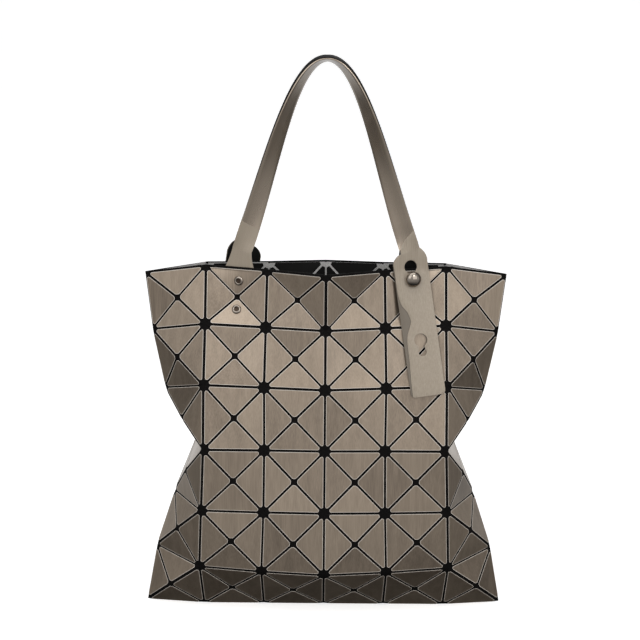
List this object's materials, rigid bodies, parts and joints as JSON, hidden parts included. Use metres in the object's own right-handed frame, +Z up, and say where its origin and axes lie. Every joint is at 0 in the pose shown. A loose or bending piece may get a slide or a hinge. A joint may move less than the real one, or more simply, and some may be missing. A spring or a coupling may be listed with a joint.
{
  "type": "faceted panel tote handbag",
  "caption": "Open-topped tote bag of folded triangular panels on mesh cloth, with two arched strap handles held by rivets at one end and keyhole tabs on mushroom studs at the other.",
  "frame": {"origin": "middle of the keel strip's underside, on the surface that the bag stands on", "axes": "+Z up, -Y towards the front face with the tab on its +X side, X along the bag's length"},
  "size_m": [0.336, 0.1108, 0.5179],
  "materials": {
    "panel": "lacquered taupe sheet with a fine upright brushed grain",
    "mesh_cloth": "black mesh cloth between and behind the panels",
    "strap": "taupe coated strap with painted edges",
    "strap_backing": "matt black strap backing",
    "hardware": "polished rivets and studs"
  },
  "bodies": {
    "root": {"body": "panel", "handle_front": "strap", "handle_back": "strap", "rivet_upper_front": "hardware", "rivet_lower_front": "hardware", "rivet_upper_back": "hardware", "rivet_lower_back": "hardware", "stud_front": "hardware", "stud_back": "hardware"}
  },
  "joints": []
}
